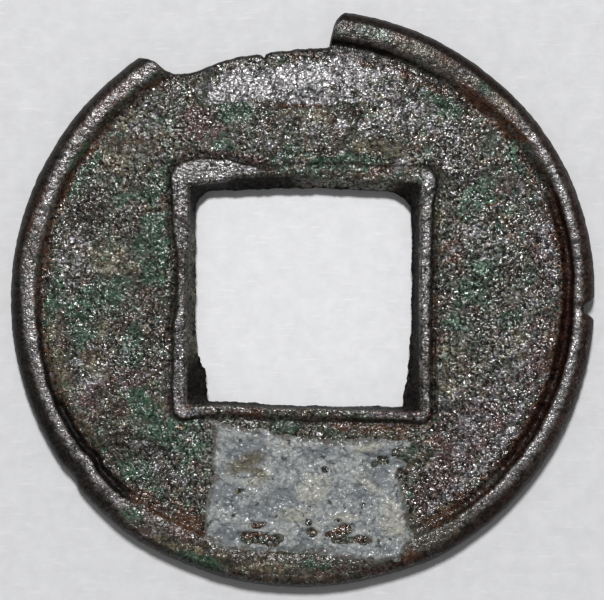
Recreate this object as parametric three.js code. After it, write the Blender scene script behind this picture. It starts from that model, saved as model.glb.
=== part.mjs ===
// A cast bronze cash coin: a round flat disc with a square hole, lying with its plain side down.
// The upper side has a raised outer rim and a raised inner rim round the hole.
// A stretch of the outer rim is broken away, and a film of label residue sticks to the field below the hole.
// Millimetres, +Z up. The origin is the disc's centre, on the plane of the lower rim that the coin rests on.
// Angles are degrees anticlockwise from +X. A list of pairs gives a value at some angles.
import * as THREE from "three";

// Disc
const OUTER_RADIUS = 12.65;
const FIELD_THICKNESS = 0.8;
// How far the worn outline stands outside the outer radius
const OUTLINE_WEAR = [
  [0, 0.09], [30, 0.16], [60, 0.02], [81, -0.05], [125, 0], [180, 0.04], [205, -0.02],
  [230, 0.08], [250, -0.03], [285, -0.04], [300, 0.06], [330, 0.09], [350, 0.1],
];
const EDGE_NOTCH = { angle: 357.9, halfSpread: 2, depth: 0.42 };
const EDGE_DENT = { angle: 217.5, halfSpread: 3, depth: 0.12 };

// Outer rim on the upper side: a rounded ridge, measured inwards from the outline
const UPPER_RIM_HEIGHTS = [
  [0, 0.36], [48, 0.3], [81, 0.32], [125, 0.36], [215, 0.36],
  [234, 0.24], [270, 0.2], [296, 0.24], [320, 0.34],
];
const RIM_CREST_START = 0.5;
const RIM_CREST_ENDS = [
  [0, 0.8], [33, 0.58], [48, 0.82], [62, 1.15], [82, 1.15], [122, 0.84], [178, 0.96],
  [226, 1], [238, 1.35], [270, 1.35], [296, 1.05], [310, 0.96], [335, 0.92], [352, 0.82],
];
const RIM_SLOPE_WIDTHS = [
  [0, 0.12], [20, 0.22], [33, 0.62], [48, 0.63], [62, 0.3], [82, 0.2], [122, 0.51],
  [178, 0.39], [206, 0.16], [226, 0.15], [238, 0.25], [296, 0.35], [335, 0.22], [352, 0.18],
];
const SHOULDER_DROP = 0.6; // from the crest down to the edge's upright side
// The groove at the outer rim's foot
const RIM_GROOVE_DEPTHS = [
  [0, 0.2], [20, 0.16], [33, 0.04], [82, 0.06], [178, 0.05], [196, 0.14], [206, 0.24], [214, 0.14],
  [218, 0.26], [226, 0.2], [236, 0], [285, 0], [296, 0.03], [310, 0.12], [335, 0.16], [352, 0.19],
];
const RIM_GROOVE_WIDTH = 0.42;
const GROOVE_BOTTOM_SHARE = 0.3; // how far across a groove its bottom lies

// Outer rim on the lower side
const LOWER_RIM_HEIGHT = 0.3;
const LOWER_RIM_WIDTH = 1.3;
const LOWER_RIM_SLOPE_WIDTH = 0.3;
const LOWER_SHOULDER_WIDTH = 0.4;
const LOWER_SHOULDER_RISE = 0.42;

// The torn edge where a stretch of the rim has broken away: how deep it lies inside the whole outline
const TORN_EDGE = [
  [81, 0], [81.8, 0.05], [82.9, 0.4], [83.5, 0.7], [83.7, 1.2], [83.8, 1.55], [84.6, 1.66], [88, 1.69],
  [93, 1.77], [98.3, 1.76], [98.9, 2], [99.6, 1.78], [104.3, 1.69], [110.4, 1.75], [114.3, 1.82],
  [118.2, 1.64], [119.5, 1.5], [121.2, 1.05], [122, 0.5], [122.9, 0.23], [124.6, 0],
];
const TORN_ROUNDING = 0.13;

// Square hole: half widths at the casting seam, the narrowest place, then how much wider the faces are
const HOLE_CENTRE = new THREE.Vector2(0.08, 0.1);
const HOLE_HALF_WIDTH = 4.72;
const HOLE_HALF_HEIGHTS = [[45, 4.66], [90, 4.72], [135, 4.6], [225, 4.6], [268, 4.8], [314, 4.9]];
const SEAM_Z = 0.66;
const HOLE_CORNER_ROUNDING = [[45, 0.7], [135, 0.6], [225, 0.15], [315, 0.15]];
const HOLE_DRAFT_ACROSS = 0.36;
const HOLE_DRAFT_ALONG = [
  [45, 0.32], [75, 0.39], [108, 0.55], [119, 0.5], [126, 0.34], [135, 0.26],
  [225, 0.18], [270, 0.12], [315, 0.14],
];
const HOLE_LOWER_DRAFT = 0.12;

// Flash left by the casting on the seam near the hole's two lower corners
const CORNER_FLASHES = [
  { angle: 221, halfSpread: 14, depth: 0.42 },
  { angle: 317, halfSpread: 18, depth: 0.3 },
];

// Inner rim, measured outwards from the hole's upper opening
const INNER_RIM_HEIGHTS = [
  [0, 0.25], [40, 0.24], [50, 0.05], [95, 0.05], [110, 0.15], [134, 0.2], [150, 0.24], [224, 0.24],
  [232, 0.1], [270, 0.1], [312, 0.13], [320, 0.22],
];
const INNER_RIM_CREST_START = 0.1;
// It widens to a flat plate at the hole's upper left corner
const INNER_RIM_CREST_ENDS = [
  [0, 0.4], [34, 0.46], [42, 0.6], [50, 0.46], [95, 0.36], [106, 0.18], [113, 0.46], [120, 0.72], [126, 0.96],
  [134, 0.88], [142, 0.7], [152, 0.64], [164, 0.38], [190, 0.34], [270, 0.28], [320, 0.38],
];
const INNER_RIM_SLOPE_WIDTH = 0.16;
const INNER_RIM_LIP_DROP = 0.08;
// The groove at the inner rim's foot
const INNER_GROOVE_DEPTHS = [
  [0, 0.12], [42, 0.12], [50, 0.02], [95, 0], [106, 0.06], [120, 0.12], [134, 0.08],
  [150, 0.12], [224, 0.06], [270, 0.08], [320, 0.12],
];
const INNER_GROOVE_WIDTH = 0.3;

// Broad swells and hollows of the crust on the field: place, half width and height
const CRUST_SWELLS = [
  [-7, 3, 1.5, 0.07], [-8.4, 0.6, 1.1, 0.05], [-9.6, 3.4, 0.9, -0.06], [-6.3, -0.4, 1, -0.05],
  [-8.2, -3.6, 1.3, 0.06], [-6.6, -5.6, 1.1, 0.07], [-8.6, -7, 1, -0.07], [-6.4, 6.4, 1.3, 0.06],
  [-8, 7.2, 0.8, -0.05], [-2.8, 7.4, 1.1, 0.05], [0.4, 6.9, 1.2, 0.07], [3.4, 7, 1.1, 0.06],
  [5.8, 7.8, 1.1, -0.06], [7.4, 5.2, 1.1, 0.05], [9.6, 4.6, 0.9, -0.06], [7.4, 1.2, 1.3, 0.07],
  [9.8, 0.4, 0.9, 0.05], [6.6, -2.2, 1, -0.05], [9, -2.8, 1.3, 0.06], [7, -6.4, 1.2, -0.07],
  [8.6, -5.2, 0.9, 0.05],
];

// The stretch at the torn edge where the crust has flaked off: a low step, then a fall towards the edge
const FLAKED = {
  left: -4.15, right: 4, lowerSide: 8.55, ramp: 0.3,
  step: 0.05, thinning: 0.22, thinnedAt: 11.3,
};

// Label residue: a thin film on the field, whose lower edge follows the rim
const FILM_AT = 270;
const FILM_THICKNESS = 0.1;
const FILM_RIM_CLEARANCE = 0.06;
const FILM_LEFT = -3.95;
const FILM_LOWER_LEFT = -4.25;
const FILM_RIGHT = 4.7;
const FILM_TOP_FALL = 0.9; // how much lower the upper edge lies at its right end
const FILM_CORNER_CUT = 0.2;
const FILM_UPPER_SPOT = { fromLeft: 1.45, belowTop: 1.9, length: 1.6, width: 0.44, turn: 24 };
const FILM_LOWER_SPOTS = [
  { fromLeft: 2.2, aboveFoot: 0.45, length: 2, width: 0.34, turn: -2 },
  { fromLeft: 5.85, aboveFoot: 0.5, length: 1.6, width: 0.44, turn: 12 },
];

// Fineness of the mesh
const STATIONS = 240;
const OUTLINE_SAMPLES = 7200;
const SHOULDER_STEPS = 4;
const LOWER_SHOULDER_STEPS = 3;
const FIELD_WAYS = [0.2, 0.4, 0.6, 0.8]; // rows of vertices on the field, as shares of its width
const TORN_ROW_STEP = 0.045;
const STATION_LEAN = 0.8; // how closely a section's inner end follows the angle of its outer end
const BARE_SPOT_POINTS = 14;
const FILM_EDGE_POINTS = 16;

// Heights and places that follow from the sizes above
const LOWER_FIELD_Z = LOWER_RIM_HEIGHT;
const FIELD_Z = LOWER_FIELD_Z + FIELD_THICKNESS;

const BRONZE = new THREE.MeshStandardMaterial({ color: 0x3d3a33, roughness: 0.45, metalness: 0.8 });
const RESIDUE = new THREE.MeshStandardMaterial({ color: 0xa9aca6, roughness: 0.8, metalness: 0 });

const { smoothstep, lerp, degToRad, clamp } = THREE.MathUtils;

// How many degrees an angle lies from another, from -180 to 180
function away(degrees, angle) {
  return ((((degrees - angle) % 360) + 540) % 360) - 180;
}

// 1 at a mark's angle, falling to 0 at its half spread
function closeness(degrees, mark) {
  return 1 - smoothstep(Math.abs(away(degrees, mark.angle)), 0, mark.halfSpread);
}

// The value at an angle, from a list of angles and values that closes on itself
function valueAt(pairs, degrees) {
  const turned = ((degrees % 360) + 360) % 360;
  const after = pairs.findIndex(([angle]) => angle > turned);
  const next = after < 0 ? 0 : after;
  const last = (next + pairs.length - 1) % pairs.length;
  const gap = (pairs[next][0] - pairs[last][0] + 360) % 360;
  const part = (turned - pairs[last][0] + 360) % 360;
  return lerp(pairs[last][1], pairs[next][1], smoothstep(part, 0, gap));
}

// The outline's radius as if nothing were notched or broken away
function wholeRadius(degrees) {
  return OUTER_RADIUS + valueAt(OUTLINE_WEAR, degrees) - EDGE_DENT.depth * closeness(degrees, EDGE_DENT);
}

// How deep the edge lies inside the whole outline, at the notch and along the torn stretch
function lostDepth(degrees) {
  const notched = EDGE_NOTCH.depth * closeness(degrees, EDGE_NOTCH);
  const after = TORN_EDGE.findIndex(([angle]) => angle > degrees);
  if (after < 1) return notched;
  const [fromAngle, from] = TORN_EDGE[after - 1];
  const [toAngle, to] = TORN_EDGE[after];
  return lerp(from, to, (degrees - fromAngle) / (toAngle - fromAngle));
}

// Points evenly spaced along the worn outline, each with its angle
function outline() {
  const samples = Array.from({ length: OUTLINE_SAMPLES + 1 }, (_, i) => {
    const degrees = (i * 360) / OUTLINE_SAMPLES;
    const radius = wholeRadius(degrees % 360) - lostDepth(degrees % 360);
    return { degrees, x: radius * Math.cos(degToRad(degrees)), y: radius * Math.sin(degToRad(degrees)) };
  });
  const lengths = [0];
  for (let i = 1; i < samples.length; i++) {
    const step = Math.hypot(samples[i].x - samples[i - 1].x, samples[i].y - samples[i - 1].y);
    lengths.push(lengths[i - 1] + step);
  }
  const stations = [];
  let sample = 0;
  for (let i = 0; i < STATIONS; i++) {
    while (lengths[sample] < (lengths[OUTLINE_SAMPLES] * i) / STATIONS) sample++;
    stations.push({ ...samples[sample], even: (i * 360) / STATIONS });
  }
  return stations;
}

// Where the outer rim's slope ends, at an angle
function rimFoot(degrees) {
  return valueAt(RIM_CREST_ENDS, degrees) + valueAt(RIM_SLOPE_WIDTHS, degrees);
}

// Where the inner rim's slope ends, at an angle about the hole
function innerRimFoot(degrees) {
  return valueAt(INNER_RIM_CREST_ENDS, degrees) + INNER_RIM_SLOPE_WIDTH;
}

// Height of the field, with the crust's swells and the flaked stretch
function fieldZ(x, y) {
  const swell = CRUST_SWELLS.reduce((sum, [atX, atY, halfWidth, height]) => {
    return sum + height * Math.exp(-(((x - atX) ** 2 + (y - atY) ** 2) / halfWidth ** 2));
  }, 0);
  const { left, right, lowerSide, ramp, step, thinning, thinnedAt } = FLAKED;
  const across = smoothstep(x, left - ramp, left + ramp) * (1 - smoothstep(x, right - ramp, right + ramp));
  const upwards = smoothstep(y, lowerSide - ramp / 2, lowerSide + ramp / 2);
  return FIELD_Z + swell - across * upwards * (step + thinning * smoothstep(y, lowerSide, thinnedAt));
}

// A point on a rounded rectangle about the hole's centre, at an angle as seen from there
function onHole(degrees, halfWidth, halfHeight, rounding) {
  const cos = Math.cos(degToRad(degrees));
  const sin = Math.sin(degToRad(degrees));
  let reach = Math.min(halfWidth / Math.abs(cos), halfHeight / Math.abs(sin));
  const cornerX = halfWidth - rounding;
  const cornerY = halfHeight - rounding;
  if (reach * Math.abs(cos) > cornerX && reach * Math.abs(sin) > cornerY) {
    const along = Math.abs(cos) * cornerX + Math.abs(sin) * cornerY;
    reach = along + Math.sqrt(along ** 2 - cornerX ** 2 - cornerY ** 2 + rounding ** 2);
  }
  return new THREE.Vector2(HOLE_CENTRE.x + reach * cos, HOLE_CENTRE.y + reach * sin);
}

// The hole's outline at its seam, at its lower face or at its upper opening widened by a margin
function seamPoint(degrees) {
  const flash = CORNER_FLASHES.reduce((sum, mark) => sum + mark.depth * closeness(degrees, mark), 0);
  const rounding = valueAt(HOLE_CORNER_ROUNDING, degrees);
  return onHole(degrees, HOLE_HALF_WIDTH - flash, valueAt(HOLE_HALF_HEIGHTS, degrees), rounding);
}

function lowerHolePoint(degrees) {
  const rounding = valueAt(HOLE_CORNER_ROUNDING, degrees);
  const halfHeight = valueAt(HOLE_HALF_HEIGHTS, degrees) + HOLE_LOWER_DRAFT;
  return onHole(degrees, HOLE_HALF_WIDTH + HOLE_LOWER_DRAFT, halfHeight, rounding);
}

function openingPoint(degrees, margin) {
  const halfWidth = HOLE_HALF_WIDTH + HOLE_DRAFT_ACROSS + margin;
  const halfHeight = valueAt(HOLE_HALF_HEIGHTS, degrees) + valueAt(HOLE_DRAFT_ALONG, degrees) + margin;
  return onHole(degrees, halfWidth, halfHeight, valueAt(HOLE_CORNER_ROUNDING, degrees) + margin);
}

// How far a quarter-round shoulder has fallen at an inset from the edge
function shoulderFall(inset, width, drop) {
  const share = clamp(1 - inset / width, 0, 1);
  return drop * (1 - Math.sqrt(1 - share ** 2));
}

// Height of the outer rim over the field, at an inset from the outline
function rimRise(degrees, inset) {
  const height = valueAt(UPPER_RIM_HEIGHTS, degrees);
  const slope = 1 - smoothstep(inset, valueAt(RIM_CREST_ENDS, degrees), rimFoot(degrees));
  return height * slope - shoulderFall(inset, RIM_CREST_START, SHOULDER_DROP);
}

function lowerZ(inset) {
  const rise = shoulderFall(inset, LOWER_SHOULDER_WIDTH, LOWER_SHOULDER_RISE);
  const slope = clamp((inset - LOWER_RIM_WIDTH) / LOWER_RIM_SLOPE_WIDTH, 0, 1);
  return LOWER_FIELD_Z * slope + rise;
}

// Distances from the outline at which a shoulder has a row of vertices, from the edge inwards
function shoulderInsets(width, steps) {
  const turns = Array.from({ length: steps + 1 }, (_, i) => (Math.PI / 2) * (i / steps));
  return turns.map((turn) => width * (1 - Math.cos(turn)));
}

// Distances from the outline at which the outer rim has a row of vertices, down to its foot
function rimInsets(degrees) {
  const crestEnd = valueAt(RIM_CREST_ENDS, degrees);
  const foot = rimFoot(degrees);
  return [...shoulderInsets(RIM_CREST_START, SHOULDER_STEPS), crestEnd, (crestEnd + foot) / 2, foot];
}

const LOWER_INSETS = [
  ...shoulderInsets(LOWER_SHOULDER_WIDTH, LOWER_SHOULDER_STEPS),
  LOWER_RIM_WIDTH,
  LOWER_RIM_WIDTH + LOWER_RIM_SLOPE_WIDTH,
];

// A vertex on a station's line from the edge inwards; at a torn edge the rows crowd together and round it off
function edgeVertex(station, whole, index, zAt, way) {
  const { edge, inward, lost } = station;
  const inset = Math.max(whole, lost + index * TORN_ROW_STEP);
  const point = edge.clone().addScaledVector(inward, inset - lost);
  const rounding = TORN_ROUNDING * smoothstep(lost, TORN_ROUNDING, 3 * TORN_ROUNDING);
  const fall = rounding ? shoulderFall(inset - lost, rounding, rounding) : 0;
  return [point.x, point.y, zAt(inset, point) + way * fall];
}

// The outer rim's upper side and the groove at its foot, from the edge inwards
function upperRimVertices(station) {
  const { degrees, lost } = station;
  const foot = rimFoot(degrees);
  const bottom = foot + RIM_GROOVE_WIDTH * GROOVE_BOTTOM_SHARE;
  const depth = lost < bottom ? valueAt(RIM_GROOVE_DEPTHS, degrees) : 0;
  const surface = (inset, point) => {
    const offRim = smoothstep(inset, valueAt(RIM_CREST_ENDS, degrees), foot);
    return rimRise(degrees, inset) + lerp(FIELD_Z, fieldZ(point.x, point.y), offRim);
  };
  const inGroove = (inset, point) => surface(inset, point) - depth;
  const insets = [...rimInsets(degrees), bottom, foot + RIM_GROOVE_WIDTH];
  return insets.map((inset, index) => {
    return edgeVertex(station, inset, index, inset === bottom ? inGroove : surface, -1);
  });
}

// The hole's sides, the inner rim and the groove at its foot, from the lower face upwards and outwards
function innerRimVertices(aboutHole) {
  const crestZ = FIELD_Z + valueAt(INNER_RIM_HEIGHTS, aboutHole);
  const lipZ = Math.max(crestZ - INNER_RIM_LIP_DROP, FIELD_Z);
  const foot = innerRimFoot(aboutHole);
  const bottom = openingPoint(aboutHole, foot + INNER_GROOVE_WIDTH * GROOVE_BOTTOM_SHARE);
  const farSide = openingPoint(aboutHole, foot + INNER_GROOVE_WIDTH);
  const at = (point, z) => [point.x, point.y, z];
  return [
    at(lowerHolePoint(aboutHole), LOWER_FIELD_Z),
    at(seamPoint(aboutHole), SEAM_Z),
    at(openingPoint(aboutHole, 0), lipZ),
    at(openingPoint(aboutHole, INNER_RIM_CREST_START), crestZ),
    at(openingPoint(aboutHole, valueAt(INNER_RIM_CREST_ENDS, aboutHole)), crestZ),
    at(bottom, fieldZ(bottom.x, bottom.y) - valueAt(INNER_GROOVE_DEPTHS, aboutHole)),
    at(farSide, fieldZ(farSide.x, farSide.y)),
  ];
}

// The coin's cross-section at a station: a closed loop, from the hole's lower edge up, outwards and back
function sectionAt({ degrees, even, x, y }) {
  const edge = new THREE.Vector2(x, y);
  const inner = innerRimVertices(lerp(even, degrees, STATION_LEAN));
  const innerSide = new THREE.Vector2(...inner[inner.length - 1]);
  const inward = innerSide.clone().sub(edge).normalize();
  const station = { degrees, edge, inward, lost: lostDepth(degrees) };
  const upper = upperRimVertices(station).reverse();
  const outerSide = new THREE.Vector2(...upper[0]);
  const field = FIELD_WAYS.map((way) => {
    const point = innerSide.clone().lerp(outerSide, way);
    return [point.x, point.y, fieldZ(point.x, point.y)];
  });
  const lower = LOWER_INSETS.map((inset, index) => edgeVertex(station, inset, index, lowerZ, 1));
  return [...inner, ...field, ...upper, ...lower];
}

// Joins the sections round the coin into one closed surface
function castingGeometry() {
  const sections = outline().map(sectionAt);
  const around = sections[0].length;
  const index = [];
  for (let i = 0; i < STATIONS; i++) {
    const next = (i + 1) % STATIONS;
    for (let j = 0; j < around; j++) {
      const up = (j + 1) % around;
      const corners = [i * around + j, next * around + j, next * around + up, i * around + up];
      index.push(corners[0], corners[2], corners[1], corners[0], corners[3], corners[2]);
    }
  }
  const geometry = new THREE.BufferGeometry();
  geometry.setAttribute("position", new THREE.Float32BufferAttribute(sections.flat(2), 3));
  geometry.setIndex(index);
  geometry.computeVertexNormals();
  return geometry;
}

// The film's upper edge, just below the inner rim's foot
function filmTop(x) {
  const foot = openingPoint(FILM_AT, innerRimFoot(FILM_AT)).y - FILM_RIM_CLEARANCE;
  return foot - FILM_TOP_FALL * smoothstep(x, FILM_LEFT, FILM_RIGHT);
}

// The film's lower edge, just inside the outer rim's foot
function filmFoot(x) {
  const narrowest = OUTER_RADIUS + Math.min(...OUTLINE_WEAR.map(([, offset]) => offset));
  const radius = narrowest - rimFoot(FILM_AT) - FILM_RIM_CLEARANCE;
  return -Math.sqrt(radius ** 2 - x ** 2);
}

// One bare spot in the film, as an oval hole turned on the field
function bareSpot(spot, y) {
  const centre = new THREE.Vector2(FILM_LEFT + spot.fromLeft, y);
  const { length, width } = spot;
  const oval = new THREE.EllipseCurve(centre.x, centre.y, length / 2, width / 2, 0, 2 * Math.PI, true);
  const points = oval.getPoints(BARE_SPOT_POINTS).slice(1);
  return new THREE.Path(points.map((point) => point.rotateAround(centre, degToRad(spot.turn))));
}

function bareSpots() {
  const besideTop = FILM_LEFT + FILM_UPPER_SPOT.fromLeft;
  const upper = bareSpot(FILM_UPPER_SPOT, filmTop(besideTop) - FILM_UPPER_SPOT.belowTop);
  const footUnder = (spot) => filmFoot(FILM_LEFT + spot.fromLeft);
  const lower = FILM_LOWER_SPOTS.map((spot) => bareSpot(spot, footUnder(spot) + spot.aboveFoot));
  return [upper, ...lower];
}

function residueGeometry() {
  const shape = new THREE.Shape();
  shape.moveTo(FILM_LEFT, filmTop(FILM_LEFT) - FILM_CORNER_CUT);
  for (let i = 0; i <= FILM_EDGE_POINTS; i++) {
    const x = lerp(FILM_LOWER_LEFT, FILM_RIGHT, i / FILM_EDGE_POINTS);
    shape.lineTo(x, filmFoot(x));
  }
  shape.lineTo(FILM_RIGHT, filmTop(FILM_RIGHT) - FILM_CORNER_CUT);
  for (let i = FILM_EDGE_POINTS; i >= 0; i--) {
    const x = lerp(FILM_LEFT + FILM_CORNER_CUT, FILM_RIGHT - FILM_CORNER_CUT, i / FILM_EDGE_POINTS);
    shape.lineTo(x, filmTop(x));
  }
  shape.closePath();
  shape.holes = bareSpots();
  return new THREE.ExtrudeGeometry(shape, { depth: FILM_THICKNESS, bevelEnabled: false });
}

const coin = new THREE.Group();

const casting = new THREE.Mesh(castingGeometry(), BRONZE);
casting.name = "coin_casting";
coin.add(casting);

const residue = new THREE.Mesh(residueGeometry(), RESIDUE);
residue.name = "label_residue";
residue.position.z = FIELD_Z;
coin.add(residue);

export default coin;
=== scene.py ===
"""A worn cast bronze cash coin on white paper: the casting's corroded surface and the film of label residue.

Lengths are millimetres until a mesh is made. The coin's centre is the origin, and angles are degrees,
anticlockwise from +X.
"""

import itertools
import math

import bpy
import numpy as np
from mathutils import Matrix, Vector, kdtree

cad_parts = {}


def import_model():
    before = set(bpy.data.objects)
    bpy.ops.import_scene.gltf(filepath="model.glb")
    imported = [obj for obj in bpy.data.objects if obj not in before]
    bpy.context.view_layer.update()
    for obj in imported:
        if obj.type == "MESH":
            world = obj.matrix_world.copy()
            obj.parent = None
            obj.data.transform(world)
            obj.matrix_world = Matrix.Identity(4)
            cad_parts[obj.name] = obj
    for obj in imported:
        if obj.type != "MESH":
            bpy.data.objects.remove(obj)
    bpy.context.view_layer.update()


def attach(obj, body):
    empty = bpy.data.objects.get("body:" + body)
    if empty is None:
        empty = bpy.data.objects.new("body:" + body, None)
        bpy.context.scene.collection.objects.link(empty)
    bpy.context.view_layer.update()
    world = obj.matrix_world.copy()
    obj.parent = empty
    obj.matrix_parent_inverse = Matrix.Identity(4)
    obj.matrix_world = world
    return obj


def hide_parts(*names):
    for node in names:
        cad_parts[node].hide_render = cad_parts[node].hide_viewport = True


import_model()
MM = 0.001

# The photo: its width, its scale on the coin, and where on the coin its middle lies
PHOTO_WIDTH_PX = 604
PX_PER_MM = 22.93
VIEW_CENTRE = (0.004, -0.078)

# Fineness of the meshes
OUTLINE_SAMPLES = 20000
STATIONS = 1500
TOP_STEPS = 130
WALL_STEPS = 10
LOWER_STEPS = 36
FILM_PITCH = 0.035

# The disc
OUTER_RADIUS = 12.65
LOWER_FIELD_Z = 0.3
FIELD_Z = 1.1
EDGE_TOP_Z = 0.86
EDGE_LOW_Z = 0.42
SIDE_BULGE = 0.05
LOWER_RIM_WIDTH = 1.3
LOWER_RIM_SLOPE = 0.3
LOWER_ROUNDING = 0.4

# How far the outline stands outside the outer radius, at some angles
OUTLINE_WEAR = {
    0: 0.09, 11: 0.16, 30: 0.16, 60: 0.02, 81: -0.05, 125: 0, 150: 0, 180: 0.04, 205: 0.06, 230: 0.13,
    250: -0.02, 270: -0.07, 285: -0.06, 300: 0.1, 330: 0.11, 350: 0.1,
}
NOTCH = {"angle": 357.9, "half_width": 2.4, "depth": 0.42}
DENT = {"angle": 217.5, "half_width": 3.0, "depth": 0.12}

# The torn edge where a stretch of the outer rim is broken away: its radius at some angles, and a large one
# where the outline is whole
TORN_EDGE = {
    80.8: 12.75, 81.6: 12.55, 82.7: 12.2, 83.2: 11.9, 83.4: 11.4, 83.5: 11.05, 84.3: 10.95, 88: 10.9,
    93: 10.8, 98.3: 10.78, 98.9: 10.56, 99.6: 10.76, 104.3: 10.88, 110.4: 10.88, 114.3: 10.87, 118.2: 11.06,
    119.5: 11.2, 121.2: 11.6, 122: 12.13, 122.9: 12.38, 124.8: 12.75,
}
WHOLE = 99
TORN_ROUNDING = 0.13
EDGE_ROUNDING = 0.02
# The rounding is worked out only beyond this distance from the centre, where an edge can be near
ROUNDED_FROM = 10.3

# The outer rim on the upper side, at some angles: the crest's distance from the outline, half the width of
# its flat top, the distance of the rim's foot, the crest's height over the field, and the depth and half
# width of the groove at the foot
RIM = {
    0: (0.82, 0.12, 0.98, 0.36, 0.2, 0.22),
    12: (0.71, 0.12, 0.94, 0.36, 0.18, 0.22),
    20: (0.66, 0.12, 1, 0.36, 0.16, 0.2),
    33: (0.58, 0.12, 1.2, 0.32, 0.04, 0.16),
    48: (0.72, 0.24, 1.45, 0.3, 0.02, 0.16),
    62: (0.85, 0.38, 1.45, 0.3, 0.05, 0.16),
    82: (0.88, 0.38, 1.35, 0.32, 0.06, 0.16),
    122: (0.72, 0.22, 1.35, 0.36, 0.05, 0.16),
    145: (0.76, 0.22, 1.35, 0.36, 0.04, 0.16),
    157: (0.82, 0.18, 1.32, 0.36, 0.05, 0.16),
    170: (0.74, 0.28, 1.35, 0.36, 0.05, 0.16),
    185: (0.84, 0.2, 1.28, 0.36, 0.08, 0.16),
    196: (0.86, 0.16, 1.15, 0.36, 0.14, 0.16),
    206: (0.85, 0.14, 1.1, 0.36, 0.24, 0.16),
    214: (0.9, 0.14, 1.14, 0.3, 0.14, 0.16),
    219: (0.94, 0.14, 1.16, 0.33, 0.26, 0.16),
    226: (0.9, 0.18, 1.18, 0.33, 0.2, 0.16),
    234: (0.9, 0.45, 1.6, 0.24, 0, 0.16),
    270: (0.9, 0.45, 1.6, 0.2, 0, 0.16),
    296: (0.84, 0.25, 1.4, 0.24, 0.03, 0.16),
    310: (0.88, 0.12, 1.2, 0.32, 0.12, 0.18),
    335: (0.77, 0.12, 1.08, 0.36, 0.16, 0.2),
    352: (0.76, 0.12, 1, 0.36, 0.19, 0.22),
}
# Its finish, at some angles: how bright the crest is worn, how much painted shade lies on its outer slope,
# and
# the band of painted shade in the groove: where it starts and ends inside the outline, and how dark it is
RIM_TONES = {
    0: (1, 0.85, 0.86, 1.36, 1),
    12: (1, 0.85, 0.86, 1.33, 0.9),
    20: (1, 0.8, 0.8, 1.38, 0.8),
    30: (0.85, 0.8, 0.82, 1.35, 0.45),
    42: (0.4, 0.8, 1, 1.5, 0.35),
    55: (0, 0.85, 0.45, 1.8, 0.4),
    68: (0, 0.8, 0.9, 1.9, 0.5),
    78: (0, 0.85, 1.08, 1.95, 0.75),
    84: (0, 0.85, 1.08, 1.95, 0.8),
    122: (0.7, 0.9, 1.15, 1.55, 0.3),
    140: (0.8, 0.9, 1.22, 1.5, 0.1),
    155: (0.8, 0.9, 1.15, 1.4, 0.25),
    170: (0.55, 0.9, 1.15, 1.45, 0.3),
    185: (0.85, 0.95, 1.08, 1.3, 0.6),
    200: (1, 0.95, 1, 1.2, 0.95),
    207: (1, 0.95, 1.02, 1.4, 1),
    214: (0.95, 0.95, 1.05, 1.45, 1),
    226: (0.8, 0.9, 1.1, 1.55, 0.95),
    232: (0.3, 0.6, 1.1, 1.5, 0),
    245: (0, 0.6, 1.1, 1.5, 0),
    270: (0, 0.4, 1.1, 1.5, 0),
    292: (0, 0.6, 1.2, 1.5, 0),
    305: (0.25, 0.9, 1.05, 1.4, 0.45),
    315: (0.9, 0.9, 1.05, 1.5, 0.7),
    325: (1, 0.7, 1, 1.52, 0.9),
    340: (1, 0.7, 0.97, 1.5, 0.95),
    352: (1, 0.8, 0.9, 1.45, 1),
}
# Cracks and gaps across the rims' crests: angle, half its width in degrees, depth
RIM_GAPS = [
    (28, 0.5, 0.12), (11.1, 0.6, 0.14), (7.9, 0.4, 0.1), (357.8, 1.2, 0.1), (161.5, 0.9, 0.1),
    (214.5, 1.2, 0.06),
]
INNER_RIM_GAPS = [(149, 1.1, 0.14), (38.4, 1, 0.16), (31, 0.6, 0.06), (196, 0.8, 0.08)]

# The square hole: the height of the casting seam in its walls, and half its width and half its length at the
# seam, at the upper opening and at the lower one, at some angles about its centre
HOLE_CENTRE = (0.08, 0.1)
SEAM_Z = 0.66
SEAM_ACROSS = {0: 4.72, 206: 4.72, 212: 4.5, 218: 4.3, 228: 4.26, 270: 4.5, 312: 4.36, 330: 4.6, 344: 4.7}
SEAM_ALONG = {45: 4.54, 62: 4.64, 90: 4.72, 135: 4.6, 225: 4.6, 235: 4.64, 268: 4.8, 295: 4.88, 314: 4.9}
OPENING_ACROSS = {0: 5.05, 40: 5.08, 90: 5.1, 140: 5, 152: 4.98, 166: 5.1, 225: 5.12, 270: 5.1, 315: 5.06}
OPENING_ALONG = {
    45: 4.98, 75: 5.1, 108: 5.24, 119: 5.17, 126: 4.98, 135: 4.86, 225: 4.78, 270: 4.92, 315: 5.04,
}
LOWER_ACROSS = {0: 4.84, 180: 4.84, 218: 4.6, 270: 4.84, 320: 4.66}
LOWER_ALONG = {0: 4.84}
CORNER_ROUNDING = {45: 1.1, 135: 0.9, 225: 0.15, 315: 0.15}
OPENING_CORNER_ROUNDING = {45: 0.5, 135: 0.45, 225: 0.25, 315: 0.25}

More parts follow.
